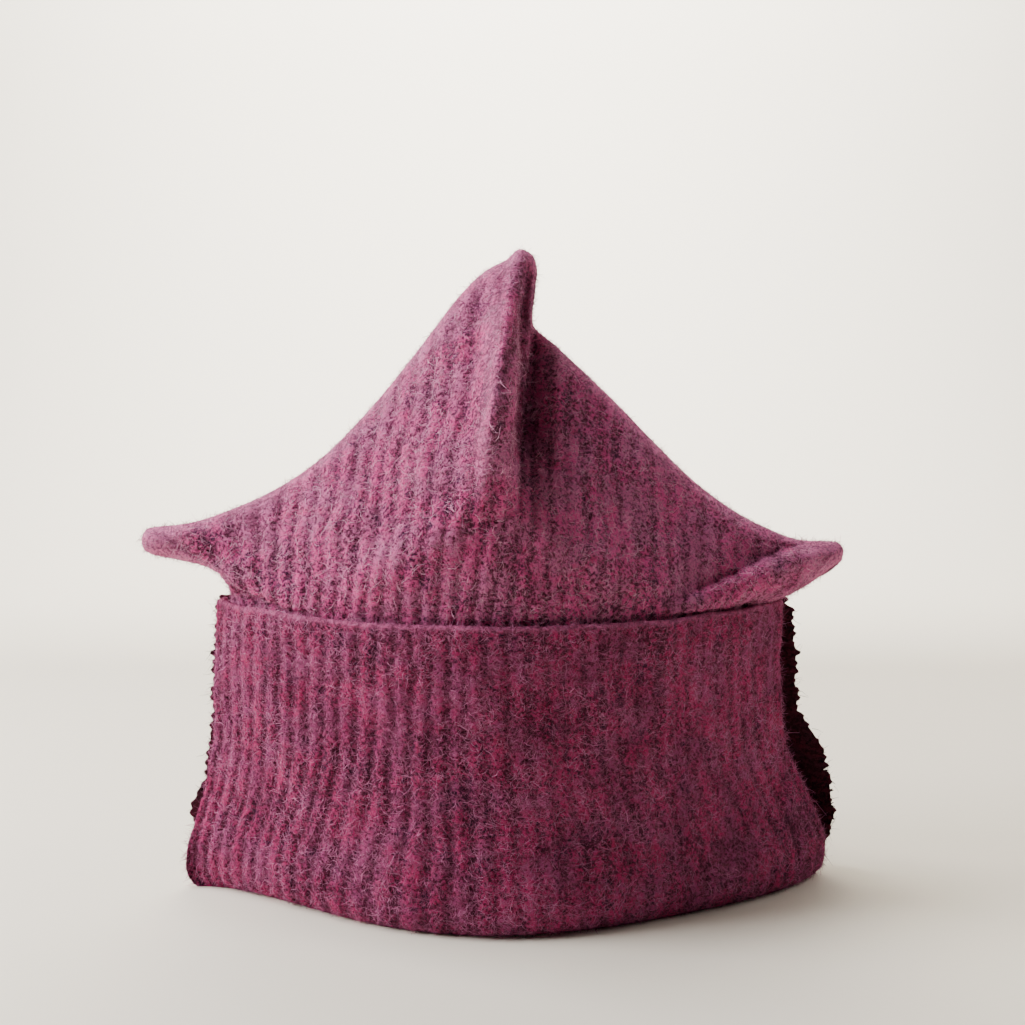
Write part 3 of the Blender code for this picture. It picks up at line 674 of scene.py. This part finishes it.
def cuffSection(fine):
    # height and inset round a cuff's section, with how far the ribs show and which side is out
    springs, reach, cloth = hat["foldSpring"], hat["foldReach"], hat["cloth"]
    rimCentre = hat["cuffTop"] - 0.9
    rows = []
    for angle in np.linspace(0.5 * math.pi, 0.0, 5)[:-1]:
        rows.append((rimCentre + 0.5 * cloth * math.sin(angle), 0.5 * cloth * (1 - math.cos(angle)), 0.25))
    for height in np.arange(rimCentre, springs + 0.4, -fine):
        rows.append((height, 0.0, 1.0))
    for angle in np.linspace(0.0, math.pi, 26):
        height = max(0.0, springs - (springs + hat["foldFlat"]) * math.sin(angle))
        rows.append((height, reach - reach * math.cos(angle), 1.0 if angle < 1.9 else 0.3))
    foot = hat["crownFoot"] - 0.3
    rows += [(foot - 1.0, 2 * reach, 0.0), (foot, 2 * reach - 0.8, 0.0), (foot, 2 * reach - cloth + 0.8, 0.0),
             (foot - 1.0, 2 * reach - cloth, 0.0)]
    for angle in np.linspace(math.pi, 0.0, 10):
        rows.append((springs - (springs - cloth) * math.sin(angle),
                     reach - (reach - cloth) * math.cos(angle), 0.0))
    for height in np.concatenate([np.arange(springs + 6.0, 90.0, 6.0), np.arange(90.0, rimCentre, 3.0)]):
        rows.append((height, cloth, 0.0))
    for angle in np.linspace(math.pi, 0.5 * math.pi, 5):
        rows.append((rimCentre + 0.5 * cloth * math.sin(angle), 0.5 * cloth * (1 - math.cos(angle)), 0.25))
    return np.array(rows)


def cuffSurface(shares, section):
    heights, insets = section[:, 0], section[:, 1]
    # the cloth thins to a soft rounded edge at both ends
    fromEnd = np.minimum(np.abs(shares - shares[0]), np.abs(shares - shares[-1])) * frontLength
    rounding = np.sqrt(1.0 - (1.0 - np.clip(fromEnd / 1.5, 0.0, 1.0)) ** 2)[:, None]
    springs, reach, cloth = hat["foldSpring"], hat["foldReach"], hat["cloth"]
    angle = np.arctan2(springs - heights, reach - insets)
    bent = heights < springs
    straight = np.where(insets < reach, 0.5 * cloth, 2 * reach - 0.5 * cloth)
    middleInset = np.where(bent, reach - (reach - 0.5 * cloth) * np.cos(angle), straight)
    middleHeight = np.where(bent, springs - (springs - 0.5 * cloth) * np.sin(angle), heights)
    # outer rows meet the inner ones at the ends, so the edge closes
    inner = np.arange(int(np.argmax(insets == 2 * reach - cloth)), len(insets))
    apart = np.hypot(middleInset[:, None] - middleInset[inner], middleHeight[:, None] - middleHeight[inner])
    meets = inner[np.argmin(apart, axis=1)]
    meets[inner] = inner
    atEnd = rounding == 0.0
    middleInset, middleHeight = (np.where(atEnd, m[meets], m) for m in (middleInset, middleHeight))
    inset = middleInset + (insets - middleInset) * rounding
    height = middleHeight + (heights - middleHeight) * rounding
    shareGrid = shares[:, None] + 0.0 * height
    toCorner = np.minimum(np.abs(shareGrid), np.abs(2.0 - shareGrid))
    shareGrid = shareGrid - cuffLook["lowWrap"] * ease((25.0 - height) / 9.0) * ease(1.0 - toCorner / 0.2)
    x, y = bodyPoint(shareGrid, np.maximum(height, 0.0), inset)
    return x, y, height, shareGrid, ease(fromEnd / 1.2)[:, None]


def makeFrontCuff():
    wrap = cuffLook["wrap"]
    count = hat["ribsAcrossFront"] * cuffLook["columnsPerRib"]
    even = np.linspace(0.0, 1.0, count + 1)
    shares = -wrap + (1 + 2 * wrap) * even
    shares = np.concatenate([-wrap + endSteps, shares[3:-3], 1 + wrap - endSteps[::-1]])
    section = cuffSection(0.85)
    x, y, height, shareGrid, endFade = cuffSurface(shares, section)
    points = np.stack([x, y, height], axis=-1)
    normals = surfaceNormals(points, False)
    rib = shareGrid * hat["ribsAcrossFront"]
    length = np.concatenate([[0.0], np.cumsum(np.hypot(np.diff(section[:, 0]), np.diff(section[:, 1])))])
    row = (length[None, :] + 0.0 * rib) / hat["rowHeight"]
    rib = rib + 0.18 * softNoise(rib * 0.4, row * 0.2, 21)
    rib = rib + cuffLook["lean"] * np.exp(-((x + 62.0) / 34.0) ** 2) * ease((64.0 - height) / 50.0)
    outside = section[:, 2][None, :]
    rimFade = 0.4 + 0.6 * ease((hat["cuffTop"] - 1.5 - height) / 5.0)
    flatFade = ease(height / 3.0)
    clear = 1.0 - 0.55 * ease((x + 50.0) / 100.0)
    relief = ribRelief(rib, row, cuffLook, clear) * outside * rimFade * flatFade * endFade
    wave = softNoise(shareGrid * 16.0, row * 0.0, 31) + 0.5 * softNoise(shareGrid * 41.0, row * 0.0, 32)
    points = points + normals * relief[..., None]
    points[..., 2] += cuffLook["rimWave"] * wave * ease((height - 70.0) / 36.0)
    points[..., 2] = np.maximum(points[..., 2], 0.0)
    # painted shade: the cuff's inner side is darker
    shade = np.where(outside > 0, 1.0, 0.55) + 0.0 * rib
    pale = cuffLook["rimPale"] * ease((height - hat["cuffTop"] + 1.4) / 1.2) * (outside > 0)
    piece = knitSheet("frontCuffKnit", points, np.stack([rib, row], axis=-1), shade=shade, pale=pale)
    keep = slice(0, int(np.argmax(section[:, 0] <= 0.2)))
    return piece, points[:, keep], normals[:, keep]


darkCuffLook = {
    "columns": 330,
    "ridgePitch": 3.5,         # garter ridges lie level on this cuff
    "ridgeHeight": 1.1,
    "bumpHeight": 0.5,
    "edgeTeeth": 1.5,
    "leftRaise": 0.9,          # of its top corner at the left
    # height and length of the cut ends of yarn
    "yarnEnds": ((18.5, 2.2), (24.0, 3.0), (29.5, 2.6), (38.0, 1.8), (66.0, 1.2)),
}


def makeBackCuff():
    start, end = 1.0 + cuffLook["wrap"] + cuffLook["slit"], 2.0 - cuffLook["wrap"] - cuffLook["slit"]
    shares = np.linspace(start, end, darkCuffLook["columns"] + 1)
    shares = np.concatenate([start + endSteps, shares[3:-3], end - endSteps[::-1]])
    section = cuffSection(0.9)
    x, y, height, shareGrid, endFade = cuffSurface(shares, section)
    left, right = smoothTable(flareRows, np.clip(height, 0.0, 108.0))
    reach = cuffLook["flapReach"]
    x = x + right * np.clip(1.0 - np.abs(shareGrid - start) / reach, 0.0, 1.0) ** 2
    fromLeft = np.abs(shareGrid - end + 0.02 * ease((25.0 - height) / 9.0))
    x = x - left * np.clip(1.0 - fromLeft / reach, 0.0, 1.0) ** 2
    points = np.stack([x, y, height], axis=-1)
    normals = surfaceNormals(points, False)
    rib = shareGrid * hat["ribsAcrossFront"]
    level = height / darkCuffLook["ridgePitch"] + 0.14 * softNoise(rib * 0.5, height * 0.1, 41)
    ridge = (0.5 * (1.0 - np.cos(2 * math.pi * level))) ** 0.7
    bumps = np.cos(2 * math.pi * (rib * 1.8 + 0.5 * np.floor(level)))
    relief = darkCuffLook["ridgeHeight"] * (ridge - 0.55) + darkCuffLook["bumpHeight"] * bumps * ridge
    relief += 0.35 * softNoise(rib * 1.3, level * 0.9, 42)
    wall = np.where(section[:, 0] > hat["foldSpring"] - 5.0, 1.0, 0.3)[None, :]
    wall = wall * np.where(section[:, 1] > 5.0, 0.2, 1.0)[None, :]
    fade = wall * (0.3 + 0.7 * ease((hat["cuffTop"] - 1.0 - height) / 4.0)) * ease(height / 3.0)
    fromEnd = np.minimum(np.abs(shareGrid - start), np.abs(shareGrid - end)) * frontLength
    nearEnd = np.clip(1.0 - fromEnd / 7.0, 0.0, 1.0)
    inner = (section[:, 1] == hat["cloth"])[None, :]
    relief = relief * np.where(inner, nearEnd, 1.0) * fade * endFade
    points = points + normals * relief[..., None]
    teeth = darkCuffLook["edgeTeeth"] * (ridge - 0.5 + 0.9 * softNoise(level * 1.3, level * 0.0, 43))
    teeth = teeth * ease(nearEnd) * ease((height - 10.0) / 6.0)
    onRight = shareGrid < 1.5
    points[..., 0] += teeth * np.where(onRight, 1.0, -0.7)
    atLeft = np.clip(1.0 - np.abs(shareGrid - end) / 0.02, 0.0, 1.0)
    points[..., 2] += darkCuffLook["leftRaise"] * atLeft * ease((height - 98.0) / 8.0)
    points[..., 1] += -0.4 * teeth * np.where(onRight, 1.0, 0.5)
    points[..., 2] = np.maximum(points[..., 2], 0.0)
    uv = np.stack([level, rib * 0.8], axis=-1)
    piece = knitSheet("backCuffKnit", points, uv, shade=np.ones(rib.shape), pale=np.zeros(rib.shape))
    keep = slice(0, int(np.argmax(section[:, 0] <= 0.2)))
    return piece, points[:, keep], normals[:, keep]


def makeYarnEnds(points):
    # cut ends of yarn along the dark cuff's right edge
    tufts = bmesh.new()
    random = np.random.default_rng(61)
    column = points[3]
    for height, length in darkCuffLook["yarnEnds"]:
        root = column[int(np.argmin(np.abs(column[:, 2] - height)))]
        for _ in range(3):
            tuft = bmesh.ops.create_cone(tufts, cap_ends=True, segments=6, radius1=0.55, radius2=0.12,
                                         depth=length * random.uniform(0.7, 1.0))
            bmesh.ops.translate(tufts, verts=tuft["verts"], vec=(0.0, 0.0, 0.4 * length))
            lean = mathutils.Euler((random.uniform(-0.5, 0.3), 1.35 + random.uniform(-0.6, 0.6), 0.0))
            bmesh.ops.rotate(tufts, verts=tuft["verts"], cent=(0.0, 0.0, 0.0), matrix=lean.to_matrix())
            place = root + np.array([-0.6, 0.0, random.uniform(-0.6, 0.6)])
            bmesh.ops.translate(tufts, verts=tuft["verts"], vec=place)
    bmesh.ops.translate(tufts, verts=tufts.verts, vec=hat["shift"])
    bmesh.ops.scale(tufts, verts=tufts.verts, vec=(mm, mm, mm))
    for face in tufts.faces:
        face.smooth = True
    mesh = bpy.data.meshes.new("backCuffYarnEnds")
    tufts.to_mesh(mesh)
    tufts.free()
    piece = bpy.data.objects.new("backCuffYarnEnds", mesh)
    bpy.context.scene.collection.objects.link(piece)
    return piece


fuzzLook = {
    "width": 0.15,             # of one fibre at its root
    "lying": (1.2, 3.8),       # shortest and longest
    "standing": (1.0, 2.8),
    "long": (2.6, 5.2),
    "standingShare": 0.28,
    "longShare": 0.025,
    "curl": 0.75,
    "rooted": 0.12,            # how deep a root stands in the cloth
}


def makeFuzz(name, points, normals, count, seed):
    random = np.random.default_rng(seed)
    # roots spread evenly over the cloth's area
    along, up = points[1:, :-1] - points[:-1, :-1], points[:-1, 1:] - points[:-1, :-1]
    area = np.linalg.norm(np.cross(along, up), axis=-1)
    chosen = random.choice(area.size, size=count, p=(area / area.sum()).ravel())
    column, row = np.unravel_index(chosen, area.shape)
    a, b = random.random(count)[:, None], random.random(count)[:, None]
    root = points[column, row] + a * along[column, row] + b * up[column, row]
    out = normals[column, row]
    side = along[column, row] / np.maximum(np.linalg.norm(along[column, row], axis=1, keepdims=True), 1e-9)
    other = np.cross(out, side)
    turn = random.uniform(0, 2 * math.pi, count)[:, None]
    tangent = np.cos(turn) * side + np.sin(turn) * other
    across = np.cross(out, tangent)
    kind = random.random(count)
    upright, reaching = kind < fuzzLook["standingShare"], kind > 1 - fuzzLook["longShare"]
    length = random.uniform(*fuzzLook["lying"], count)
    length = np.where(upright, random.uniform(*fuzzLook["standing"], count), length)
    length = np.where(reaching, random.uniform(*fuzzLook["long"], count), length)[:, None]
    lift = np.where(upright, random.uniform(0.35, 0.95, count), random.uniform(0.06, 0.34, count))
    lift = np.where(reaching, random.uniform(0.2, 0.8, count), lift)[:, None]
    curl = random.normal(0.0, fuzzLook["curl"], count)[:, None]
    droop = random.uniform(-0.3, 0.1, count)[:, None]
    flatness = np.sqrt(1 - np.clip(lift, 0, 0.97) ** 2)
    stations = []
    for s in (0.0, 0.5, 1.0):
        reachOut = s * lift + s * s * droop * lift
        sway = s * flatness * tangent + reachOut * out + curl * s * s * across
        stations.append(root - fuzzLook["rooted"] * out + length * sway)
    stations = np.stack(stations, axis=1)
    direction = stations[:, -1] - stations[:, 0]
    wide = np.cross(direction, out + 0.35 * random.normal(size=(count, 3)))
    wide = wide / np.maximum(np.linalg.norm(wide, axis=1, keepdims=True), 1e-9)
    taper = np.array([1.0, 0.85, 0.3])[None, :, None]
    half = 0.5 * fuzzLook["width"] * random.uniform(0.7, 1.4, count)[:, None, None] * taper
    edges = np.stack([stations - wide[:, None] * half, stations + wide[:, None] * half], axis=2)

    # one long ribbon, cut into fibres by leaving out every third step
    strip = bmesh.new()
    bmesh.ops.create_grid(strip, x_segments=1, y_segments=3 * count, size=1.0)
    mesh = bpy.data.meshes.new(name)
    gaps = [f for f in strip.faces if int((f.calc_center_median().y + 1.0) * 0.5 * 3 * count) % 3 == 2]
    bmesh.ops.delete(strip, geom=gaps, context="FACES")
    strip.to_mesh(mesh)
    strip.free()
    place = np.empty(len(mesh.vertices) * 3)
    mesh.vertices.foreach_get("co", place)
    place = place.reshape(-1, 3)
    step = np.rint((place[:, 1] + 1.0) * 0.5 * 3 * count).astype(int)
    which, station = np.minimum(step // 3, count - 1), step % 3
    placed = edges[which, station, (place[:, 0] > 0).astype(int)]
    placed[:, 2] = np.maximum(placed[:, 2], 0.05)
    mesh.vertices.foreach_set("co", ((placed + np.array(hat["shift"])) * mm).ravel())
    tint = mesh.attributes.new("tint", "FLOAT", "POINT")
    tint.data.foreach_set("value", (random.beta(1.4, 1.2, count) * np.where(upright, 0.65, 1.0))[which])
    mesh.polygons.foreach_set("use_smooth", np.ones(len(mesh.polygons), dtype=bool))
    mesh.update()
    piece = bpy.data.objects.new(name, mesh)
    bpy.context.scene.collection.objects.link(piece)
    return piece


def dress(piece, material, slot, *nodes):
    piece.data.materials.append(material)
    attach(piece, "root")
    if nodes:
        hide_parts(*nodes)


paleFelt = feltMaterial("marledCrownFelt", crownFelt)
deepFelt = feltMaterial("marledCuffFelt", cuffFelt)
darkKnit = feltMaterial("maroonKnit", maroonYarn)
crownFibre = fuzzMaterial("mauveFibre", screen(240, 168, 206), screen(118, 36, 76))
cuffFibre = fuzzMaterial("raspberryFibre", screen(218, 132, 178), screen(96, 20, 54))
darkFibre = fuzzMaterial("maroonFibre", screen(92, 36, 54), screen(34, 7, 17))
print("hat: materials ready")

crown, crownPoints, crownNormals = makeCrown()
dress(crown, paleFelt, "felt_knit", "crown")
print("hat: crown knitted,", len(crown.data.polygons), "faces")
frontCuff, frontPoints, frontNormals = makeFrontCuff()
dress(frontCuff, deepFelt, "felt_knit", "front_cuff")
print("hat: front cuff turned up,", len(frontCuff.data.polygons), "faces")
backCuff, backPoints, backNormals = makeBackCuff()
dress(backCuff, darkKnit, "dark_knit", "back_cuff")
dress(makeYarnEnds(backPoints), darkKnit, "dark_knit")
print("hat: back cuff turned up,", len(backCuff.data.polygons), "faces")

fuzz = {
    "crownFuzz": (crownPoints, crownNormals, 46000, 101, crownFibre, "felt_knit"),
    "frontCuffFuzz": (frontPoints, frontNormals, 46000, 102, cuffFibre, "felt_knit"),
    "backCuffFuzz": (backPoints, backNormals, 14000, 103, darkFibre, "dark_knit"),
}
for name, (points, normals, count, seed, material, slotName) in fuzz.items():
    dress(makeFuzz(name, points, normals, count, seed), material, slotName)
print("hat: fibres raised")

studio = {
    "floor": screen(238, 231, 217),
    "floorReach": 3.0,
    "wallBehind": 1.1,
    "wallHeight": 3.0,
    "cornerRadius": 0.5,
    "worldStrength": 0.03,
    # watts, size, place, what it is aimed at, colour
    "lights": {
        "keyLight": (8.9, 0.34, (-0.70, -0.05, 0.42), (0.0, 0.0, 0.12), (1.0, 0.985, 0.97)),
        "topLight": (15.5, 0.5, (-0.42, 0.2, 1.18), (0.03, 0.0, 0.12), (1.0, 0.98, 0.96)),
        "rimLight": (2.1, 0.4, (0.7, 0.2, 0.4), (0.0, 0.0, 0.1), (1.0, 0.93, 0.87)),
        "wallLight": (54.0, 1.0, (0.0, 0.42, 0.95), (0.0, 1.1, 0.9), (1.0, 0.985, 0.95)),
    },
}


def makeStudio():
    flat = bmesh.new()
    bmesh.ops.create_grid(flat, x_segments=1, y_segments=1, size=studio["floorReach"])
    far = [e for e in flat.edges if all(v.co.y > 0.0 for v in e.verts)]
    for vert in far[0].verts:
        vert.co.y = studio["wallBehind"]
    raised = bmesh.ops.extrude_edge_only(flat, edges=far)
    for vert in [v for v in raised["geom"] if isinstance(v, bmesh.types.BMVert)]:
        vert.co.z = studio["wallHeight"]
    corner = [e for e in flat.edges if len(e.link_faces) == 2]
    bmesh.ops.bevel(flat, geom=corner, offset=studio["cornerRadius"], segments=16, affect="EDGES",
                    profile=0.5, material=-1)
    for face in flat.faces:
        face.smooth = True
    mesh = bpy.data.meshes.new("studioFloor")
    flat.to_mesh(mesh)
    flat.free()
    floor = bpy.data.objects.new("studioFloor", mesh)
    bpy.context.scene.collection.objects.link(floor)
    bench = shaderBench("paleFloor")
    bench.shader.inputs["Base Color"].default_value = studio["floor"]
    bench.shader.inputs["Roughness"].default_value = 0.7
    mesh.materials.append(bench.material)

    for name, (watts, size, place, target, colour) in studio["lights"].items():
        light = bpy.data.lights.new(name, "AREA")
        light.energy = watts
        light.size = size
        light.color = colour
        lamp = bpy.data.objects.new(name, light)
        lamp.location = place
        aim = mathutils.Vector(target) - mathutils.Vector(place)
        lamp.rotation_euler = aim.to_track_quat("-Z", "Y").to_euler()
        bpy.context.scene.collection.objects.link(lamp)

    world = bpy.data.worlds.new("studioWorld")
    world.use_nodes = True
    world.node_tree.nodes["Background"].inputs["Color"].default_value = (0.95, 0.96, 1.0, 1.0)
    world.node_tree.nodes["Background"].inputs["Strength"].default_value = studio["worldStrength"]
    bpy.context.scene.world = world


camera = {
    "place": (6.2, -540.0, 207.0),
    "pitch": -7.0,
    "focal": 1440.0,           # in pixels
    "frame": 1025.0,           # width of the frame in pixels
}


def makeCamera():
    lens = bpy.data.cameras.new("hatCamera")
    lens.sensor_width = 36.0
    lens.lens = camera["focal"] / camera["frame"] * lens.sensor_width
    lens.clip_start = 0.01
    view = bpy.data.objects.new("hatCamera", lens)
    view.location = [(p + s) * mm for p, s in zip(camera["place"], hat["shift"])]
    view.rotation_euler = (math.radians(90.0 + camera["pitch"]), 0.0, 0.0)
    bpy.context.scene.collection.objects.link(view)
    bpy.context.scene.camera = view


makeStudio()
makeCamera()
print("hat: studio and camera set")
